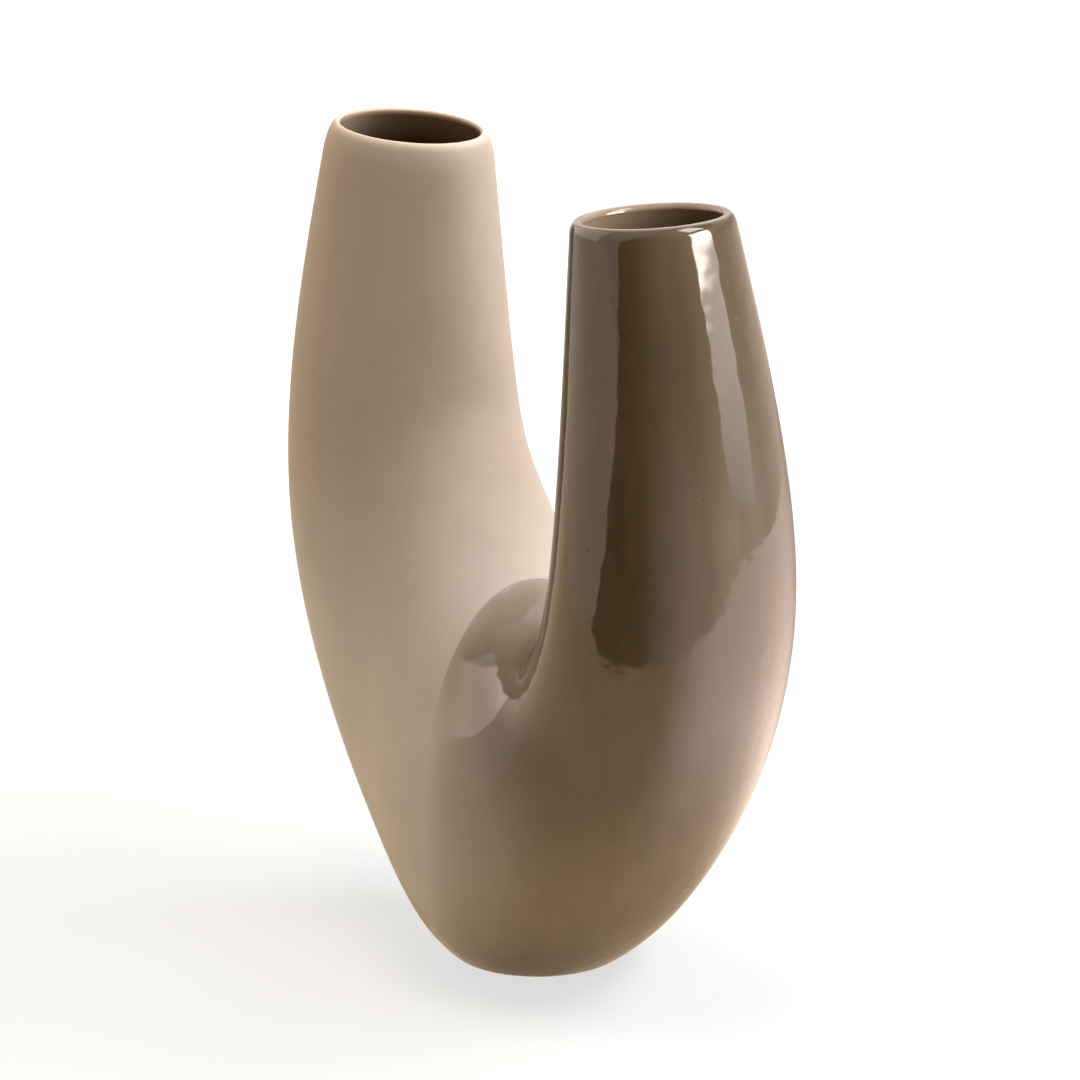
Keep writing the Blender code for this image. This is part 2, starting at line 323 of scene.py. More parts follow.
class Loft:
    """The crescent's outer surface as a function of station t (in sections) and turn (round a section)."""

    def __init__(self, shape):
        inner = [getattr(shape, name + "_inner") for name in SECTION_NAMES]
        outer = [getattr(shape, name + "_outer") for name in SECTION_NAMES]
        widths = [getattr(shape, name + "_depth") for name in SECTION_NAMES]
        self.values = np.column_stack([inner, outer, widths])
        self.bends = natural_bends(self.values)

    def section(self, t):
        """Inner point, outer point and depth at t, and how fast they change.

        With b the share of the way from one section to the next and a = 1 - b, the value is the straight mix
        of the two plus a sixth of (a cubed - a) and (b cubed - b) times their bends.
        """
        i = np.clip(t.astype(int), 0, LAST_SECTION - 1)
        b = (t - i)[:, None]
        a = 1 - b
        low, high = self.values[i], self.values[i + 1]
        low_bend, high_bend = self.bends[i], self.bends[i + 1]
        value = a * low + b * high + ((a**3 - a) * low_bend + (b**3 - b) * high_bend) / 6
        rate = high - low + ((1 - 3 * a**2) * low_bend + (3 * b**2 - 1) * high_bend) / 6
        return value, rate

    def surface(self, t, turns):
        """Points of the ellipses at every t and turn, with their directions round and along the crescent.

        A point is the middle of the section plus half its breadth times the cosine in the XZ plane, and half
        its depth times the sine along Y.
        """
        grid = np.broadcast_to(t, (len(t), len(turns)))
        value, rate = (flat.reshape(*grid.shape, -1) for flat in self.section(grid.ravel()))
        cos, sin = np.cos(turns)[None, :, None], np.sin(turns)[None, :, None]
        inner, outer, width = value[..., 0:2], value[..., 2:4], value[..., 4:5]
        inner_rate, outer_rate, width_rate = rate[..., 0:2], rate[..., 2:4], rate[..., 4:5]
        points = with_width((outer + inner) / 2 + (outer - inner) / 2 * cos, width / 2 * sin)
        round_way = with_width(-(outer - inner) / 2 * sin, width / 2 * cos)
        middle_rate = (outer_rate + inner_rate) / 2
        along = with_width(middle_rate + (outer_rate - inner_rate) / 2 * cos, width_rate / 2 * sin)
        return points, round_way, along

    def under(self, t, turns, depths):
        """Points at each t's own depth straight under the surface: the point less depth times the normal."""
        points, round_way, along = self.surface(t, turns)
        normals = np.cross(round_way, along)
        normals /= np.linalg.norm(normals, axis=2, keepdims=True)
        return points - depths[:, None, None] * normals

    def pace(self, t, turns):
        """How many metres one section takes at t, at each turn."""
        return np.linalg.norm(self.surface(np.array([[t]]), turns)[2][0], axis=1)


def spot(station, swoop=0.0):
    """Place on the crescent at a station: no drop below a lip, and a share of the glaze line's swoop."""
    return np.array([station, 0.0, 0.0, swoop])


class Wall:
    """Depths of the layers under the outer surface, and the height of the lip's inner rounding."""

    def __init__(self, layers):
        self.coat = layers.coat
        self.clay_out = layers.coat + layers.gap
        self.clay_in = self.clay_out + layers.clay
        self.clay_middle = (self.clay_out + self.clay_in) / 2
        self.collar_in = self.clay_middle - layers.gap
        self.liner_out = self.clay_in + layers.gap
        self.liner_in = self.liner_out + layers.liner
        self.lip_drop = self.liner_in / 2


class Arm:
    """Stations of one arm: its lip, its seam with the belly and the steps of the joint there."""

    def __init__(self, vase, mouth, seam, down, crest, rounding):
        layers = vase.layers
        self.wall = vase.wall
        self.mouth = mouth
        self.down = down
        self.crest = crest
        self.rounding = rounding
        self.paces = vase.loft.pace(mouth, vase.turns)
        seam_paces = vase.loft.pace(seam, vase.turns)
        gap = layers.gap / seam_paces.min()
        self.shoulder = spot(seam)
        self.slip_top = spot(seam + down * gap)
        self.slip_end = self.slip_top + spot(down * layers.slip / seam_paces.mean())
        self.collar = self.slip_end + spot(down * gap)
        self.spigot = self.collar + spot(down * layers.spigot / seam_paces.mean())
        self.ledge = self.spigot + spot(down * gap)
        self.liner_top = self.below_lip(self.wall.lip_drop + HAIRLINE)

    def below_lip(self, drop):
        """Place at a drop below the lip's top."""
        drops = [drop, 0.0] if self.down > 0 else [0.0, drop]
        return np.array([self.mouth, *drops, 0.0])

    def lip(self, inset, steps=13):
        """Round lip from outside to inside, as rows of place and depth, at an inset under its face.

        Two quarter ellipses meet at the crest. The outer one is as high as the rounding and as deep as the
        crest, and the inner one takes the rest of the wall; the inset shortens their half axes.
        """
        turn = np.linspace(0, math.pi / 2, steps)
        inner_turn = turn[1:]
        depths = self.crest - (self.crest - inset) * np.cos(turn)
        drops = self.rounding - (self.rounding - inset) * np.sin(turn)
        rest = self.wall.liner_in - self.crest - inset
        inner_depths = self.crest + rest * np.sin(inner_turn)
        inner_drops = self.wall.lip_drop - (self.wall.lip_drop - inset) * np.cos(inner_turn)
        places = np.stack([self.below_lip(drop) for drop in (*drops, *inner_drops)])
        return np.column_stack([places, np.concatenate([depths, inner_depths])])


class Vase:
    """What every operator needs: the loft, the wall and the two arms' stations.

    A profile has a row for each ring of points. A row is a place, which is the station, the drops below the
    tall and the short lip and a share of the glaze line's swoop, and a depth under the outer surface.
    """

    def __init__(self, scene):
        layers = scene.vase_layers
        self.layers = layers
        self.colours = scene.vase_colours
        self.loft = Loft(scene.vase_shape)
        self.wall = Wall(layers)
        even = np.arange(layers.around) * 2 * math.pi / layers.around
        self.turns = even - CROWDING * np.sin(even)
        past_side = np.cos(self.turns) + SWOOP_SIDE
        fall = np.where(past_side < 0, SWOOP_SADDLE_FALL, SWOOP_KEEL_FALL)
        self.swoop = SWOOP_PEAK - fall * past_side**2
        self.tall = Arm(self, 0.0, layers.tall_seam, 1, layers.tall_crest, layers.tall_round)
        self.short = Arm(self, LAST_SECTION, layers.short_seam, -1, layers.short_crest, layers.short_round)

    def run(self, start, end, depth_under):
        """Rows from one place to another at one depth."""
        count = max(2, int(abs(end[0] - start[0]) * self.layers.rows) + 2)
        return np.column_stack([np.linspace(start, end, count), np.full(count, depth_under)])

    def stations(self, profile):
        """Station of each point: its row's, moved by the drops at the pace of its turn, and by the swoop.

        The swoop runs furthest to the short arm a little over the side. From there it falls back with the
        square of the change in cosine, most of all under the keel.
        """
        station, tall_drop, short_drop, swoop = np.hsplit(profile[:, PLACE], 4)
        dropped = station + tall_drop / self.tall.paces - short_drop / self.short.paces
        return dropped + swoop * self.swoop

    def carry(self, profile):
        """Carries a profile round the crescent, as a grid of points."""
        return self.loft.under(self.stations(profile), self.turns, profile[:, DEPTH])


def grid_mesh(name, points, closed=True):
    """Mesh of quads over a grid of points that joins up round its columns, and along its rows if closed."""
    rows, columns = points.shape[:2]
    row = np.arange(rows if closed else rows - 1)[:, None]
    column = np.arange(columns)[None, :]
    after_row = (row + 1) % rows
    after_column = (column + 1) % columns
    corners = [
        row * columns + column,
        row * columns + after_column,
        after_row * columns + after_column,
        after_row * columns + column,
    ]
    faces = np.stack(np.broadcast_arrays(*corners), axis=-1).reshape(-1, 4)
    mesh = bpy.data.meshes.new(name)
    mesh.vertices.add(rows * columns)
    mesh.vertices.foreach_set("co", points.ravel())
    mesh.loops.add(faces.size)
    mesh.loops.foreach_set("vertex_index", faces.ravel())
    mesh.polygons.add(len(faces))
    mesh.polygons.foreach_set("loop_start", np.arange(0, faces.size, 4))
    mesh.update(calc_edges=True)
    return mesh


def point_values(mesh, name, values):
    """Keeps one number for each point of the mesh, for its material to read."""
    kept = mesh.attributes.new(name, "FLOAT", "POINT")
    kept.data.foreach_set("value", np.ascontiguousarray(values).ravel())


def slice_level(mesh, height, keep_above):
    """Cuts the mesh at a level, drops what lies beyond it and closes the cut with a flat face."""
    work = bmesh.new()
    work.from_mesh(mesh)
    bmesh.ops.bisect_plane(
        work,
        geom=work.verts[:] + work.edges[:] + work.faces[:],
        dist=SAME_LEVEL / 10,
        plane_co=(0, 0, height),
        plane_no=(0, 0, 1),
        clear_inner=keep_above,
        clear_outer=not keep_above,
    )
    rim = [edge for edge in work.edges if edge.is_boundary and abs(edge.verts[0].co.z - height) < SAME_LEVEL]
    facing = (0, 0, -1 if keep_above else 1)
    bmesh.ops.triangle_fill(work, use_beauty=True, edges=rim, normal=facing)
    work.to_mesh(mesh)
    work.free()


def place(mesh, surface, node):
    """Shows a mesh as the piece of the vase that stands for a CAD node."""
    mesh.polygons.foreach_set("use_smooth", np.ones(len(mesh.polygons), dtype=bool))
    mesh.set_sharp_from_angle(angle=SHARP_TURN)
    mesh.materials.append(surface)
    piece = bpy.data.objects.new(mesh.name, mesh)
    bpy.context.scene.collection.objects.link(piece)
    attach(piece, "root")
    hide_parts(node)


def add_node(tree, kind, inputs=None, **settings):
    """Adds a shader node; an input given as a socket is linked, and any other is set."""
    made = tree.nodes.new(kind)
    for name, value in settings.items():
        setattr(made, name, value)
    for name, value in (inputs or {}).items():
        if isinstance(value, bpy.types.NodeSocket):
            tree.links.new(value, made.inputs[name])
        else:
            made.inputs[name].default_value = value
    return made


def blend(tree, share, first, second):
    """Mixes two colours by a share, and gives the mixed colour's socket."""
    made = add_node(tree, "ShaderNodeMix", {0: share, 6: first, 7: second}, data_type="RGBA")
    return made.outputs[2]


def reckon(tree, operation, first, second=0.0, third=0.0, clamp=False):
    """One sum of a Math node."""
    inputs = {0: first, 1: second, 2: third}
    return add_node(tree, "ShaderNodeMath", inputs, operation=operation, use_clamp=clamp).outputs[0]


def fade(tree, value, start, end, low=0.0, high=1.0):
    """Smooth step of a value from low at start to high at end."""
    inputs = {"Value": value, "From Min": start, "From Max": end, "To Min": low, "To Max": high}
    return add_node(tree, "ShaderNodeMapRange", inputs, interpolation_type="SMOOTHSTEP").outputs["Result"]


def left_of(tree, run, reach):
    """Share of a reach that is left after a run: one at its start, and nothing from its end on."""
    return reckon(tree, "SUBTRACT", 1.0, reckon(tree, "DIVIDE", run, reach), clamp=True)


def noise(tree, vector, scale, detail):
    """Value of a smooth noise."""
    inputs = {"Vector": vector, "Scale": scale, "Detail": detail}
    return add_node(tree, "ShaderNodeTexNoise", inputs).outputs[0]


def attribute(tree, name):
    """The number that each point of the piece keeps under this name."""
    return add_node(tree, "ShaderNodeAttribute", attribute_name=name).outputs["Fac"]


def level(tree, here):
    """Height over the table."""
    return add_node(tree, "ShaderNodeSeparateXYZ", {0: here}).outputs[2]


def vector_sum(tree, operation, inputs, output):
    """One output of a Vector Math node."""
    return add_node(tree, "ShaderNodeVectorMath", inputs, operation=operation).outputs[output]


def shared_group(name, fill, inputs, output):
    """The shader node group of this name, filled on its first use.

    Its inputs come with their defaults, and a default of None makes a vector. Fill makes its nodes and gives
    the socket that becomes its output.
    """
    tree = bpy.data.node_groups.get(name)
    if tree is None:
        tree = bpy.data.node_groups.new(name, "ShaderNodeTree")
        for socket_name, default in inputs.items():
            kind = "NodeSocketVector" if default is None else "NodeSocketFloat"
            socket = tree.interface.new_socket(socket_name, in_out="INPUT", socket_type=kind)
            if default is not None:
                socket.default_value = default
        tree.interface.new_socket(output, in_out="OUTPUT", socket_type="NodeSocketFloat")
        result = fill(tree, tree.nodes.new("NodeGroupInput").outputs)
        tree.links.new(result, tree.nodes.new("NodeGroupOutput").inputs[0])
    return tree


def fill_clouds(tree, given):
    """Clouds in a glaze: a broad noise and one a fifth as large, mixed three to one."""
    broad = noise(tree, given["Vector"], given["Scale"], 3.0)
    small = noise(tree, given["Vector"], reckon(tree, "MULTIPLY", given["Scale"], 5.0), 2.0)
    return reckon(tree, "MULTIPLY_ADD", broad, 0.75, reckon(tree, "MULTIPLY", small, 0.25))


def fill_specks(tree, given):
    """Specks from the firing: a dot in the middle of some cells of a random cell pattern."""
    inputs = {"Vector": given["Vector"], "Scale": given["Scale"], "Randomness": 1.0}
    cells = add_node(tree, "ShaderNodeTexVoronoi", inputs).outputs
    pick = add_node(tree, "ShaderNodeSeparateColor", {0: cells["Color"]}).outputs
    chosen = reckon(tree, "LESS_THAN", pick[0], given["Share"])
    size = reckon(tree, "MULTIPLY", given["Radius"], reckon(tree, "ADD", pick[1], 0.4))
    dot = reckon(tree, "MULTIPLY", left_of(tree, cells["Distance"], size), 3.0, clamp=True)
    return reckon(tree, "MULTIPLY", dot, chosen)


def fill_skin(tree, given):
    """Height of a fired skin: slow ripples and a fine grain, each with its own share."""
    ripple = noise(tree, given["Vector"], given["Ripple scale"], 1.0)
    grain = noise(tree, given["Vector"], given["Grain scale"], 3.0)
    grainy = reckon(tree, "MULTIPLY", grain, given["Grain"])
    return reckon(tree, "MULTIPLY_ADD", ripple, given["Ripple"], grainy)


def glaze_clouds(tree, here, scale):
    """Places the clouds in a material."""
    group = shared_group("Glaze clouds", fill_clouds, {"Vector": None, "Scale": 20.0}, "Value")
    inputs = {"Vector": here, "Scale": scale}
    return add_node(tree, "ShaderNodeGroup", inputs, node_tree=group).outputs[0]


def firing_specks(tree, here, scale, radius, share):
    """Places the specks in a material: cells in a metre, size in a cell and share of cells with a speck."""
    defaults = {"Vector": None, "Scale": 60.0, "Radius": 0.06, "Share": 0.3}
    group = shared_group("Firing specks", fill_specks, defaults, "Mask")
    inputs = {"Vector": here, "Scale": scale, "Radius": radius, "Share": share}
    return add_node(tree, "ShaderNodeGroup", inputs, node_tree=group).outputs[0]


def fired_skin(tree, here, ripple, grain):
    """Places the skin in a material, with the scale and the share of its ripples and of its grain."""
    defaults = {"Vector": None, "Ripple scale": 60.0, "Ripple": 1.0, "Grain scale": 900.0, "Grain": 0.2}
    group = shared_group("Fired skin", fill_skin, defaults, "Height")
    inputs = {"Vector": here, "Ripple scale": ripple[0], "Ripple": ripple[1]}
    inputs.update({"Grain scale": grain[0], "Grain": grain[1]})
    return add_node(tree, "ShaderNodeGroup", inputs, node_tree=group).outputs[0]


def new_surface(name):
    """A material with its node tree, its Principled shader and its Object coordinates."""
    surface = bpy.data.materials.new(name)
    surface.use_nodes = True
    tree = surface.node_tree
    shader = tree.nodes["Principled BSDF"]
    here = add_node(tree, "ShaderNodeTexCoord").outputs["Object"]
    return surface, tree, shader, here


def wire(tree, shader, links, **constants):
    """Links sockets to the shader's inputs and sets the inputs that are the same all over."""
    for name, socket in links.items():
        tree.links.new(socket, shader.inputs[name])
    for name, value in constants.items():
        shader.inputs[name.replace("_", " ").title().replace("Ior", "IOR")].default_value = value


def shaded(rgb, factor=1.0):
    """The colour times a factor, with full alpha."""
    return (*(min(1.0, channel * factor) for channel in rgb), 1.0)


def mottled(tree, clouds, rgb, dark, light):
    """The colour times a dark factor to times a light one, as the clouds go."""
    return blend(tree, fade(tree, clouds, *CLOUDY), shaded(rgb, dark), shaded(rgb, light))


def bumped(tree, height, strength, distance=GLAZE_BUMP):
    """Normal of a surface with this height on it."""
    inputs = {"Height": height, "Strength": strength, "Distance": distance}
    return add_node(tree, "ShaderNodeBump", inputs).outputs["Normal"]


def inside_lip(tree, crest, blur):
    """One inside a lip and nothing outside it, with a soft change just past the crest."""
    start = crest + PAST_CREST
    return fade(tree, attribute(tree, "lip_depth"), start, start + blur)


def matt_surface(colours, crest):
    """Dry taupe glaze: faint clouds, sparse specks and a powdery grain, lighter low down with painted light
    bounced from the table, and paler at the lip, partly where it thins and partly a painted highlight on the
    crest.
    """
    surface, tree, shader, here = new_surface("matt_taupe_glaze")
    clouds = glaze_clouds(tree, here, 22.0)
    specks = firing_specks(tree, here, 90.0, radius=0.045, share=0.10)
    upper = mottled(tree, clouds, colours.matt, dark=0.95, light=1.05)
    # Lower down the glaze turns lighter: painted light bounced up from the table
    lower = mottled(tree, clouds, colours.matt_bounce_lit, dark=0.95, light=1.05)
    body = blend(tree, fade(tree, level(tree, here), *MATT_FALL), upper, lower)
    # Painted highlight: the lip's crest is lighter, partly where the glaze thins and partly standing in for
    # light on it
    rim = fade(tree, attribute(tree, "from_lip"), PALE_LIP, 0.0, high=0.85)
    thin = blend(tree, rim, body, shaded(colours.matt, 1.5))
    spotted = blend(tree, reckon(tree, "MULTIPLY", specks, 0.35), thin, shaded(colours.matt, 0.45))
    inside = inside_lip(tree, crest, MATT_BLUR)
    lined = blend(tree, inside, spotted, shaded(colours.liner_thin_and_lit))
    dry = fade(tree, clouds, *CLOUDY, low=0.52, high=0.64)
    rough = reckon(tree, "MULTIPLY_ADD", inside, -0.35, dry)
    skin = fired_skin(tree, here, ripple=(45.0, 0.6), grain=(1500.0, 0.12))
    links = {"Base Color": lined, "Roughness": rough, "Normal": bumped(tree, skin, 0.25)}
    wire(tree, shader, links, ior=1.45, specular_ior_level=0.12)
    return surface


def lap_and_light_share(tree, line, height, clouds):
    """How far the gloss glaze turns to the matt colour under it at a run from the glaze line, from nothing to
    one.

    It is the 2.5th power of what is left of a reach, along an edge that wanders with the clouds, and lower on
    the saddle: the real lap of the thin glaze, with a longer reach on the saddle that paints light into the
    crease.
    In the crook of the short arm it is at least a share of the 1.5th power of what is left there, painted
    light falling into the crease.
    """
    wander = reckon(tree, "MULTIPLY_ADD", reckon(tree, "SUBTRACT", clouds, 0.5), LINE_WANDER, line)
    reach = fade(tree, height, *REACH_CLIMB, *THIN_REACH)
    edge = reckon(tree, "POWER", left_of(tree, wander, reach), 2.5)
    thin_edge = reckon(tree, "MULTIPLY", edge, fade(tree, height, *SADDLE_CLIMB, low=1.0, high=SADDLE_THIN))
    crook = reckon(tree, "POWER", left_of(tree, line, CROOK_REACH), 1.5)
    lit_crook = reckon(tree, "MULTIPLY", crook, fade(tree, height, *CROOK_CLIMB, high=CROOK_PAINTED_LIGHT))
    return reckon(tree, "MAXIMUM", thin_edge, lit_crook)


def gloss_surface(colours, crest):
    """Wet-looking brown glaze: drawn-out runs, pinholes, a pale lip and a soft edge to the matt glaze,
    lighter low down with painted bounce light and lighter in the crook of the short arm with painted light
    falling in.
    """
    surface, tree, shader, here = new_surface("gloss_brown_glaze")
    drawn = add_node(tree, "ShaderNodeMapping", {"Vector": here, "Scale": (1.0, 1.0, 0.22)}).outputs[0]
    clouds = glaze_clouds(tree, here, 18.0)
    runs = glaze_clouds(tree, drawn, 95.0)
    pinholes = firing_specks(tree, here, 70.0, radius=0.05, share=0.3)
    line, height = attribute(tree, "from_line"), level(tree, here)
    upper = mottled(tree, clouds, colours.gloss, dark=0.92, light=1.08)
    # Lower down the glaze turns lighter: painted light bounced up from the table
    lower = mottled(tree, clouds, colours.gloss_bounce_lit, dark=0.92, light=1.08)
    body = blend(tree, fade(tree, height, *GLOSS_FALL), upper, lower)
    streaked = blend(tree, fade(tree, runs, 0.35, 0.7, high=0.3), body, shaded(colours.gloss, 1.45))
    # Near the line the thin gloss shows the matt colour; in the crook and on the saddle this veil is painted
    # light in the crease
    thin = lap_and_light_share(tree, line, height, clouds)
    veil = blend(tree, thin, shaded(colours.matt, 1.08), shaded(colours.matt_bounce_lit, 0.98))
    lapped = blend(tree, thin, streaked, veil)
    rim = fade(tree, attribute(tree, "lip_depth"), *PALE_ROUND)
    pale = blend(tree, rim, lapped, shaded(colours.gloss_thin))
    lined = blend(tree, inside_lip(tree, crest, GLOSS_BLUR), pale, shaded(colours.liner_thin_and_lit, 0.75))
    pitted = blend(tree, reckon(tree, "MULTIPLY", pinholes, 0.8), lined, shaded(colours.gloss, 0.25))
    dry = left_of(tree, line, fade(tree, height, *SADDLE_CLIMB, *DRY_REACH))
    slick = fade(tree, clouds, *CLOUDY, low=0.05, high=0.09)
    rough = reckon(tree, "MULTIPLY_ADD", reckon(tree, "MULTIPLY", dry, dry), 0.45, slick, clamp=True)
    ahead = reckon(tree, "DIVIDE", line, fade(tree, height, *REACH_CLIMB, *DULL_REACH))
    wet = fade(tree, ahead, 0.04, 0.45, low=0.12, high=0.5)
    skin = fired_skin(tree, here, ripple=(95.0, 1.0), grain=(420.0, 0.03))
    dented = reckon(tree, "MULTIPLY_ADD", pinholes, -0.5, skin)
    links = {"Base Color": pitted, "Roughness": rough, "Normal": bumped(tree, dented, 0.35)}
    links["Specular IOR Level"] = wet
    wire(tree, shader, links, ior=1.5)
    return surface


def liner_surface(colours):
    """Dark glaze of the inside, with clouds and slow ripples, darker than its own brown as painted shade deep
    in, and lighter towards the lips, partly where it thins and partly painted light falling in.
    """
    surface, tree, shader, here = new_surface("dark_inner_glaze")
    clouds = glaze_clouds(tree, here, 25.0)
    # The body colour is darkened as painted shade deep inside; towards the lips it turns lighter, partly
    # painted light
    body = mottled(tree, clouds, colours.liner, dark=0.8, light=1.35)
    thin = fade(tree, attribute(tree, "from_lip"), *LINER_RISE)
    thinned = blend(tree, thin, body, shaded(colours.liner_thin_and_lit))
    rough = fade(tree, clouds, *CLOUDY, low=0.12, high=0.2)
    skin = fired_skin(tree, here, ripple=(60.0, 1.0), grain=(400.0, 0.05))
    links = {"Base Color": thinned, "Roughness": rough, "Normal": bumped(tree, skin, 0.2)}
    wire(tree, shader, links, ior=1.5, specular_ior_level=0.15)
    return surface


def bare_surface(name, base, speck_share):
    """Unglazed fired body: sandy clouds, iron specks and a gritty grain."""
    surface, tree, shader, here = new_surface(name)
    clouds = glaze_clouds(tree, here, 60.0)
    specks = firing_specks(tree, here, 260.0, radius=0.16, share=speck_share)
    body = mottled(tree, clouds, base, dark=0.88, light=1.1)
    spotted = blend(tree, reckon(tree, "MULTIPLY", specks, 0.6), body, shaded(base, 0.35))
    rough = fade(tree, clouds, *CLOUDY, low=0.78, high=0.92)
    skin = fired_skin(tree, here, ripple=(200.0, 0.5), grain=(1800.0, 0.5))
    links = {"Base Color": spotted, "Roughness": rough, "Normal": bumped(tree, skin, 0.5, CLAY_BUMP)}
    wire(tree, shader, links, ior=1.4)
    return surface


def clay_surface(colours):
    """The one clay of the arms, the belly and the floor, made on its first use."""
    name = "bare_stoneware"
    return bpy.data.materials.get(name) or bare_surface(name, colours.clay, speck_share=0.22)


def arm_mesh(vase, name, arm):
    """Clay tube of one arm: a round lip, and below the seam the wall's inner half runs on as a spigot."""
    wall = vase.wall
    lip = arm.lip(wall.clay_out)
    profile = np.concatenate(
        [
            vase.run(arm.shoulder, lip[0, PLACE], wall.clay_out)[:-1],
            lip,
            vase.run(lip[-1, PLACE], arm.spigot, wall.clay_in)[1:],
            vase.run(arm.spigot, arm.shoulder, wall.clay_middle),
        ]
    )
    return grid_mesh(name, vase.carry(profile[:: -arm.down]))


def coat_mesh(vase, name, arm):
    """Outer glaze of one arm and its side of the belly, rolled over the lip and wiped back from the foot.

    Each point keeps its run from the lip and from the glaze line, as stations times the pace there, and its
    depth.
    """
    wall, line = vase.wall, vase.layers.glaze_line
    line_paces = vase.loft.pace(line, vase.turns)
    end = spot(line - arm.down * HAIRLINE / line_paces.min(), 1.0)
    over, under = arm.lip(0.0), arm.lip(wall.coat)
    profile = np.concatenate(
        [
            vase.run(end, over[0, PLACE], 0.0)[:-1],
            over,
            under[::-1],
            vase.run(under[0, PLACE], end, wall.coat)[1:],
        ]
    )[:: -arm.down]
    mesh = grid_mesh(name, vase.carry(profile))
    stations = vase.stations(profile)
    point_values(mesh, "from_lip", np.abs(stations - arm.mouth) * arm.paces)
    point_values(mesh, "from_line", np.abs(stations - line - vase.swoop) * line_paces)
    point_values(mesh, "lip_depth", np.broadcast_to(profile[:, DEPTH, None], stations.shape))
    slice_level(mesh, vase.layers.foot_bare, keep_above=True)
    return mesh


def slip_mesh(vase, name, arm):
    """Ring of slip in the outer half of the wall, between an arm's shoulder and the belly's collar."""
    profile = np.concatenate(
        [
            vase.run(arm.slip_end, arm.slip_top, vase.wall.clay_out),
            vase.run(arm.slip_top, arm.slip_end, vase.wall.collar_in),
        ]
    )
    return grid_mesh(name, vase.carry(profile[:: -arm.down]))


class VASE_OT_arms(bpy.types.Operator):
    """Make the clay tubes of the tall and the short arm"""

    bl_idname = "crescent_vase.arms"
    bl_label = "Arms"

    def execute(self, context):
        vase = Vase(context.scene)
        clay = clay_surface(vase.colours)
        place(arm_mesh(vase, "tall_tube", vase.tall), clay, "tall_arm")
        place(arm_mesh(vase, "short_tube", vase.short), clay, "short_arm")
        return {"FINISHED"}


class VASE_OT_belly(bpy.types.Operator):
    """Make the clay keel between the arms, with its collars, cut open under the foot"""

    bl_idname = "crescent_vase.belly"
    bl_label = "Belly"

    def execute(self, context):
        vase = Vase(context.scene)
        wall, tall, short = vase.wall, vase.tall, vase.short
        profile = np.concatenate(
            [
                vase.run(tall.collar, short.collar, wall.clay_out),
                vase.run(short.collar, short.ledge, wall.collar_in),
                vase.run(short.ledge, tall.ledge, wall.clay_in),
                vase.run(tall.ledge, tall.collar, wall.collar_in),
            ]
        )
        mesh = grid_mesh("belly_wall", vase.carry(profile))
        slice_level(mesh, 0.0, keep_above=True)
        place(mesh, clay_surface(vase.colours), "belly")
        return {"FINISHED"}


class VASE_OT_floor(bpy.types.Operator):
    """Make the clay floor that fills the belly's open underside"""

    bl_idname = "crescent_vase.floor"
    bl_label = "Floor"

    def execute(self, context):
        vase = Vase(context.scene)
        profile = vase.run(vase.tall.ledge, vase.short.ledge, vase.wall.liner_out)
        mesh = grid_mesh("floor_plug", vase.carry(profile), closed=False)
        slice_level(mesh, vase.layers.slab, keep_above=False)
        slice_level(mesh, 0.0, keep_above=True)
        place(mesh, clay_surface(vase.colours), "foot_slab")
        return {"FINISHED"}


class VASE_OT_slip(bpy.types.Operator):
    """Make the two rings of fired slip in the joints"""

    bl_idname = "crescent_vase.slip"
    bl_label = "Slip rings"

    def execute(self, context):
        vase = Vase(context.scene)
        slip = bare_surface("fired_slip", vase.colours.slip, speck_share=0.1)
        place(slip_mesh(vase, "tall_slip_ring", vase.tall), slip, "tall_slip_bed")
        place(slip_mesh(vase, "short_slip_ring", vase.short), slip, "short_slip_bed")
        return {"FINISHED"}


class VASE_OT_glazes(bpy.types.Operator):
    """Make the matt and the gloss coat of the outside"""

    bl_idname = "crescent_vase.glazes"
    bl_label = "Outer glazes"

    def execute(self, context):
        vase = Vase(context.scene)
        matt = matt_surface(vase.colours, vase.tall.crest)
        gloss = gloss_surface(vase.colours, vase.short.crest)
        place(coat_mesh(vase, "matt_skin", vase.tall), matt, "matt_coat")
        place(coat_mesh(vase, "gloss_skin", vase.short), gloss, "gloss_coat")
        return {"FINISHED"}


class VASE_OT_liner(bpy.types.Operator):
    """Make the dark glaze of the inside, which lies level on the floor"""

    bl_idname = "crescent_vase.liner"
    bl_label = "Inner glaze"

    def execute(self, context):
        vase = Vase(context.scene)
        wall, layers, tall, short = vase.wall, vase.layers, vase.tall, vase.short
        profile = np.concatenate(
            [
                vase.run(tall.liner_top, short.liner_top, wall.liner_out),
                vase.run(short.liner_top, tall.liner_top, wall.liner_in),
            ]
        )
        points = vase.carry(profile)
        levels = layers.slab + layers.gap + profile[:, DEPTH] - wall.liner_out
        points[..., 2] = np.maximum(points[..., 2], levels[:, None])
        mesh = grid_mesh("inner_skin", points)
        stations = vase.stations(profile)
        runs = np.minimum(stations * tall.paces, (short.mouth - stations) * short.paces)
        point_values(mesh, "from_lip", runs)
        place(mesh, liner_surface(vase.colours), "liner")
        return {"FINISHED"}


def empty_tree(owner):
    """Node tree of a material or a world, with nothing in it."""
    owner.use_nodes = True
    owner.node_tree.nodes.clear()
    return owner.node_tree


def seen(tree):
    """One for rays that show a surface: from the camera, in a reflection or through glass."""
    path = add_node(tree, "ShaderNodeLightPath").outputs
    shown = reckon(tree, "MAXIMUM", path["Is Camera Ray"], path["Is Glossy Ray"])
    return reckon(tree, "MAXIMUM", shown, path["Is Transmission Ray"])


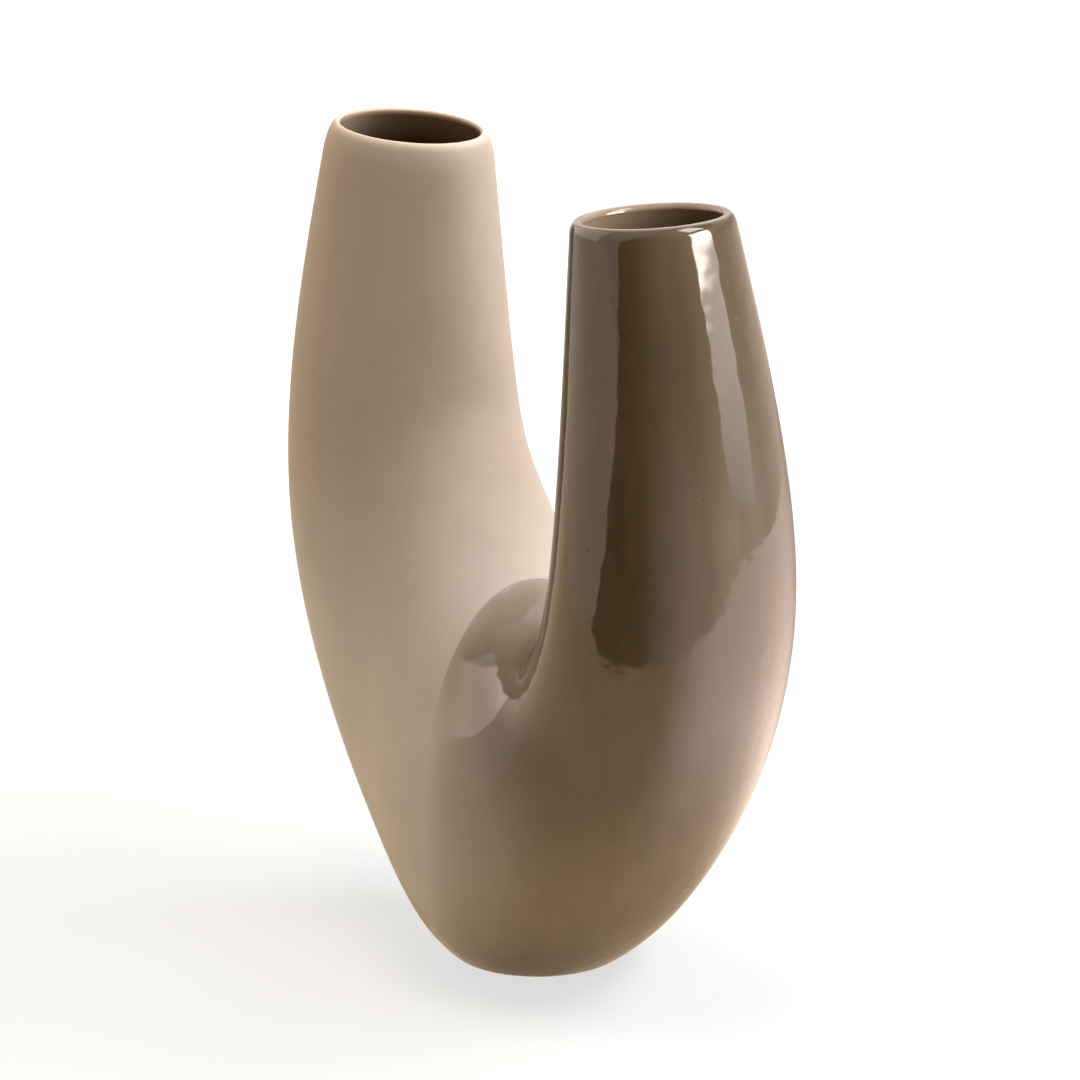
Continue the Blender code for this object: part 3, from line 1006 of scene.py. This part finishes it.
def light_world(stage):
    """White where it is seen, and an even, slightly warm light on surfaces."""
    world = bpy.data.worlds.new("studio")
    tree = empty_tree(world)
    warm = {"Color": (1.0, 0.95, 0.86, 1.0), "Strength": stage.ambient}
    even = add_node(tree, "ShaderNodeBackground", warm).outputs[0]
    white = add_node(tree, "ShaderNodeBackground", {"Color": WHITE, "Strength": 1.0}).outputs[0]
    mixed = add_node(tree, "ShaderNodeMixShader", {0: seen(tree), 1: even, 2: white})
    add_node(tree, "ShaderNodeOutputWorld", {"Surface": mixed.outputs[0]})
    bpy.context.scene.world = world


def table_surface():
    """White table: it shows nearly white by itself, and light on it adds the rest, so a shadow stays.

    Its own glow rises from near the vase to the edges of the picture.
    """
    surface = bpy.data.materials.new("white_table")
    tree = empty_tree(surface)
    plain = add_node(tree, "ShaderNodeBsdfDiffuse", {"Color": (0.92, 0.90, 0.80, 1.0)}).outputs[0]
    shown = add_node(tree, "ShaderNodeBsdfDiffuse", {"Color": (0.26, 0.24, 0.21, 1.0)}).outputs[0]
    here = add_node(tree, "ShaderNodeTexCoord").outputs["Object"]
    strength = fade(tree, vector_sum(tree, "LENGTH", {0: here}, "Value"), 0.2, 0.9, low=0.7, high=1.0)
    glow = add_node(tree, "ShaderNodeEmission", {"Color": WHITE, "Strength": strength}).outputs[0]
    bright = add_node(tree, "ShaderNodeAddShader", {0: shown, 1: glow}).outputs[0]
    mixed = add_node(tree, "ShaderNodeMixShader", {0: seen(tree), 1: plain, 2: bright})
    add_node(tree, "ShaderNodeOutputMaterial", {"Surface": mixed.outputs[0]})
    return surface


def stage_mesh(name, points, surface):
    """A sheet of the stage over an open grid of points."""
    rows, columns = points.shape[:2]
    row = np.arange(rows - 1)[:, None]
    column = np.arange(columns - 1)[None, :]
    first = row * columns + column
    faces = np.stack([first, first + 1, first + columns + 1, first + columns], axis=-1).reshape(-1, 4)
    mesh = bpy.data.meshes.new(name)
    mesh.from_pydata(points.reshape(-1, 3).tolist(), [], faces.tolist())
    mesh.materials.append(surface)
    made = bpy.data.objects.new(name, mesh)
    bpy.context.scene.collection.objects.link(made)
    return made


def spot_round(azimuth, height=0.0, radius=1.0):
    """Points on an upright cylinder round the vase, at one azimuth or several, and a height."""
    turn = np.radians(azimuth)
    return np.stack([radius * np.sin(turn), -radius * np.cos(turn), height + 0 * turn], axis=-1)


def ring(start, end):
    """Points at a distance of one round the vase, from one azimuth to another."""
    return spot_round(np.arange(start, end + 1, RING_STEP))


def outward(azimuth, elevation):
    """Direction away from the vase, of length one, at an azimuth and an elevation."""
    rise = math.radians(elevation)
    return spot_round(azimuth, math.sin(rise), math.cos(rise))


def mirrored_sheet(name, points, surface):
    """A sheet left only in reflections, as a studio's flags and light boxes outside the picture are."""
    made = stage_mesh(name, points, surface)
    made.visible_camera = False
    made.visible_diffuse = False
    made.visible_shadow = False
    made.visible_transmission = False


def card(name, corners, surface):
    """Straight-sided mirrored sheet between four corners: the mix of its lower edge and its upper edge."""
    low_start, low_end, high_end, high_start = np.array(corners)
    steps = np.linspace(0, 1, CARD_STEPS)
    across, rise = steps[None, :, None], steps[:, None, None]
    low = (1 - across) * low_start + across * low_end
    high = (1 - across) * high_start + across * high_end
    mirrored_sheet(name, (1 - rise) * low + rise * high, surface)


def card_surface(name, glow, tint=(1.0, 0.97, 0.94), cover=None):
    """Glow of a card, with the strength that a function of its tree and its Object coordinates gives.

    Where the cover, another such function, falls to nothing, what lies behind the card shows through it.
    """
    surface = bpy.data.materials.new(name)
    tree = empty_tree(surface)
    here = add_node(tree, "ShaderNodeTexCoord").outputs["Object"]
    light = {"Color": (*tint, 1.0), "Strength": glow(tree, here)}
    shown = add_node(tree, "ShaderNodeEmission", light).outputs[0]
    if cover:
        behind = add_node(tree, "ShaderNodeBsdfTransparent").outputs[0]
        shown = add_node(tree, "ShaderNodeMixShader", {0: cover(tree, here), 1: behind, 2: shown}).outputs[0]
    add_node(tree, "ShaderNodeOutputMaterial", {"Surface": shown})
    return surface


def axis_distance(tree, here):
    """Position with its height left out, and its distance from the vase's axis."""
    flat = vector_sum(tree, "MULTIPLY", {0: here, 1: (1.0, 1.0, 0.0)}, "Vector")
    return flat, vector_sum(tree, "LENGTH", {0: flat}, "Value")


def turn_share(tree, here, azimuth):
    """Cosine of the turn round the vase from an azimuth, and the distance from its axis."""
    flat, away = axis_distance(tree, here)
    along = vector_sum(tree, "DOT_PRODUCT", {0: flat, 1: spot_round(azimuth)}, "Value")
    return reckon(tree, "DIVIDE", along, away), away


def right_glow(dimmest):
    """Light of the room at the right: strongest towards the light box, less to either side and higher up.

    The side share is the cosine of the turn away from the light box. The rise is the height over the short
    neck, divided by the distance.
    """

    def glow(tree, here):
        share, away = turn_share(tree, here, LIGHT_BOX_AZIMUTH)
        rise = reckon(tree, "DIVIDE", reckon(tree, "SUBTRACT", level(tree, here), NECK_HEIGHT), away)
        broad = fade(tree, share, 0.1, 0.9, low=dimmest, high=2.6)
        peak = fade(tree, share, 0.85, 1.0, high=1.5)
        lower = fade(tree, rise, -0.1, 0.3, low=0.95, high=0.42)
        return reckon(tree, "MULTIPLY", reckon(tree, "ADD", broad, peak), lower)

    return glow


def pool_glow(tree, here):
    """Pool of light on the table, by the cosine of the turn away from its brightest side."""
    share, _ = turn_share(tree, here, POOL_BRIGHT_AZIMUTH)
    return fade(tree, share, -0.2, 0.95, low=0.6, high=4.9)


def pool_cover(tree, here):
    """The pool fades out to either side and close in."""
    share, away = turn_share(tree, here, POOL_COVER_AZIMUTH)
    return reckon(tree, "MULTIPLY", fade(tree, share, -0.22, 0.41), fade(tree, away, 0.07, 0.27))


def table_glow(tree, here):
    """Warm table top, dimmer in the vase's own shade."""
    _, away = axis_distance(tree, here)
    return fade(tree, away, 0.05, 0.25, low=0.65, high=1.5)


def table_cover(tree, here):
    """The warm table top reaches round the front, and close in all round."""
    share, away = turn_share(tree, here, 0.0)
    return reckon(tree, "MAXIMUM", fade(tree, share, -0.3, 0.35), fade(tree, away, 0.35, 0.15))


def box_glow(tree, here):
    """Light box: dim at its foot, and bright in its top half."""
    height = level(tree, here)
    foot = fade(tree, height, 0.2, 0.44, low=3.7, high=5.9)
    return reckon(tree, "ADD", foot, fade(tree, height, 0.455, 0.53, high=20.0))


def even_glow(strength):
    """The same strength all over."""
    return lambda tree, here: strength


def front_cards(stage):
    """The room past the table's front edge, lit from the right, and the dark ceiling over it.

    Corners are worked out from how far they lie to the right, to the front and up.
    """
    azimuth = math.degrees(stage.azimuth)
    front, side = spot_round(azimuth), spot_round(azimuth + 90)

    def corner(right, up, ahead=TABLE_FRONT):
        """The three steps added up."""
        return right * side + ahead * front + up * UP

    room = card_surface("right_room", right_glow(0.02), (1.0, 0.78, 0.61))
    card("dark_front", [corner(-0.6, 0.0), corner(1.2, 0.0), corner(1.2, 1.0), corner(0.5, 1.0)], room)
    dark = card_surface("dark_room", even_glow(0.02))
    near = [corner(-1.0, CEILING), corner(2.4, CEILING)]
    far = [corner(2.4, CEILING, ROOM_BACK), corner(-1.0, CEILING, ROOM_BACK)]
    card("dark_ceiling", near + far, dark)


def left_cards():
    """A long window over a warm wall at the left; corners lie along the wall and up."""
    start = spot_round(LEFT_WALL_AZIMUTH, radius=LEFT_WALL_DISTANCE)
    left = spot_round(LEFT_WALL_AZIMUTH - 90)

    def corner(along, up):
        """The two steps added up, from the wall's start."""
        return start + along * left + up * UP

    def strip(name, near, bottom, top, surface):
        """Level strip of the wall, from its near end to the far one."""
        far = LEFT_WALL_LENGTH
        card(name, [corner(far, bottom), corner(near, bottom), corner(near, top), corner(far, top)], surface)

    window = card_surface("window", even_glow(3.1), (1.0, 0.83, 0.70))
    strip("window", 0.0, WINDOW_SILL, WINDOW_LINTEL, window)
    wall = card_surface("warm_wall", even_glow(1.6), (1.0, 0.80, 0.64))
    strip("warm_wall", LEFT_WALL_NEAR_END, 0.0, WINDOW_SILL, wall)


def lamp_card(name, azimuths, elevations, surface):
    """Lamp between two azimuths and two elevations, seen from the lips."""
    start, end = azimuths
    low, high = elevations
    ways = [outward(start, low), outward(end, low), outward(end, high), outward(start, high)]
    card(name, [LIPS + LAMP_DISTANCE * way for way in ways], surface)


def right_cards():
    """The light box, the two lamps and the curved wall that they light at the right."""
    box = card_surface("light_box", box_glow, (1.0, 0.91, 0.84))
    foot = [spot_round(108, 0.22), spot_round(137, 0.15)]
    top = [spot_round(141, 0.8), spot_round(114, 0.8)]
    card("light_box", foot + top, box)
    lamp = card_surface("lamp", even_glow(12.0))
    lamp_card("near_lamp", (66, 86), (22, 40), lamp)
    lamp_card("high_lamp", (118, 144), (34, 54), lamp)
    wall = card_surface("right_wall", right_glow(1.3), (0.85, 0.69, 0.57))
    foot_line = RIGHT_WALL_DISTANCE * ring(*RIGHT_WALL_AZIMUTHS)
    heights = np.linspace(0.0, RIGHT_WALL_HEIGHT, CARD_STEPS)[:, None, None]
    mirrored_sheet("right_wall", foot_line + heights * UP, wall)


def table_cards():
    """The warm table top round the vase and the pool of light over it: rings times distances."""
    wood = card_surface("warm_table", table_glow, (1.0, 0.75, 0.50), table_cover)
    reaches = np.array(WOOD_REACH)[:, None, None]
    mirrored_sheet("warm_table", reaches * ring(0, 360) + WOOD_LIFT * UP, wood)
    pool = card_surface("lit_table", pool_glow, (1.0, 0.80, 0.69), pool_cover)
    reaches = np.linspace(*POOL_REACH, CARD_STEPS)[:, None, None]
    mirrored_sheet("lit_table", reaches * ring(*POOL_AZIMUTHS) + POOL_LIFT * UP, pool)


def soft_box(name, azimuth, elevation, size, tint, watts):
    """A rectangular soft lamp that faces the vase from an azimuth and elevation."""
    lamp = bpy.data.lights.new(name, "AREA")
    lamp.shape = "RECTANGLE"
    lamp.size, lamp.size_y = size
    lamp.energy = watts
    lamp.color = tint
    away = Vector(outward(azimuth, elevation))
    made = bpy.data.objects.new(name, lamp)
    made.location = SOFT_BOX_AIM + away * SOFT_BOX_DISTANCE
    made.rotation_euler = away.to_track_quat("Z", "Y").to_euler()
    made.visible_glossy = False
    bpy.context.scene.collection.objects.link(made)


def aim_camera(stage):
    """Camera on a sphere round its aim, upright, looking at it."""
    azimuth = math.degrees(stage.azimuth)
    back = Vector(outward(azimuth, math.degrees(stage.elevation)))
    right = Vector(spot_round(azimuth + 90))
    up = back.cross(right)
    lens = bpy.data.cameras.new("studio_camera")
    lens.sensor_width = SENSOR_WIDTH_MM
    lens.lens = stage.lens
    camera = bpy.data.objects.new("studio_camera", lens)
    eye = Matrix.Translation(Vector(stage.aim) + back * stage.distance)
    camera.matrix_world = eye @ Matrix((right, up, back)).transposed().to_4x4()
    bpy.context.scene.collection.objects.link(camera)
    bpy.context.scene.camera = camera


class VASE_OT_stage(bpy.types.Operator):
    """Set the white table, the lights, the reflected cards and the camera"""

    bl_idname = "crescent_vase.stage"
    bl_label = "Stage"

    def execute(self, context):
        stage = context.scene.vase_stage
        context.scene.view_settings.view_transform = "Standard"
        light_world(stage)
        reach = np.linspace(-TABLE_HALF, TABLE_HALF, 3)
        x, y = np.meshgrid(reach, reach)
        stage_mesh("table", np.stack([x, y, 0 * x], axis=-1), table_surface())
        for name, (azimuth, elevation, size, tint) in SOFT_BOXES.items():
            soft_box(name + "_box", azimuth, elevation, size, tint, getattr(stage, name))
        front_cards(stage)
        left_cards()
        right_cards()
        table_cards()
        aim_camera(stage)
        return {"FINISHED"}


GROUPS = {
    "vase_shape": VaseShape,
    "vase_layers": VaseLayers,
    "vase_colours": VaseColours,
    "vase_stage": VaseStage,
}

OPERATORS = (
    VASE_OT_arms,
    VASE_OT_belly,
    VASE_OT_floor,
    VASE_OT_slip,
    VASE_OT_glazes,
    VASE_OT_liner,
    VASE_OT_stage,
)


class VASE_PT_panel(bpy.types.Panel):
    """Pieces, sizes and colours of the vase"""

    bl_idname = "VASE_PT_panel"
    bl_label = "Crescent vase"
    bl_space_type = "VIEW_3D"
    bl_region_type = "UI"
    bl_category = "Vase"

    def draw(self, context):
        column = self.layout.column()
        for operator in OPERATORS:
            column.operator(operator.bl_idname)
        for name, group in GROUPS.items():
            box = self.layout.box()
            for setting in group.__annotations__:
                box.prop(getattr(context.scene, name), setting)


def register():
    """Adds the settings to the scene, and the operators and the panel to Blender."""
    for name, group in GROUPS.items():
        bpy.utils.register_class(group)
        setattr(bpy.types.Scene, name, PointerProperty(type=group))
    for made in (*OPERATORS, VASE_PT_panel):
        bpy.utils.register_class(made)


def unregister():
    """Takes away what register added."""
    for made in (VASE_PT_panel, *reversed(OPERATORS)):
        bpy.utils.unregister_class(made)
    for name, group in GROUPS.items():
        delattr(bpy.types.Scene, name)
        bpy.utils.unregister_class(group)


def main():
    """Builds the vase and its stage."""
    register()
    bpy.ops.crescent_vase.arms()
    bpy.ops.crescent_vase.belly()
    bpy.ops.crescent_vase.floor()
    bpy.ops.crescent_vase.slip()
    bpy.ops.crescent_vase.glazes()
    bpy.ops.crescent_vase.liner()
    bpy.ops.crescent_vase.stage()


if __name__ == "__main__":
    main()
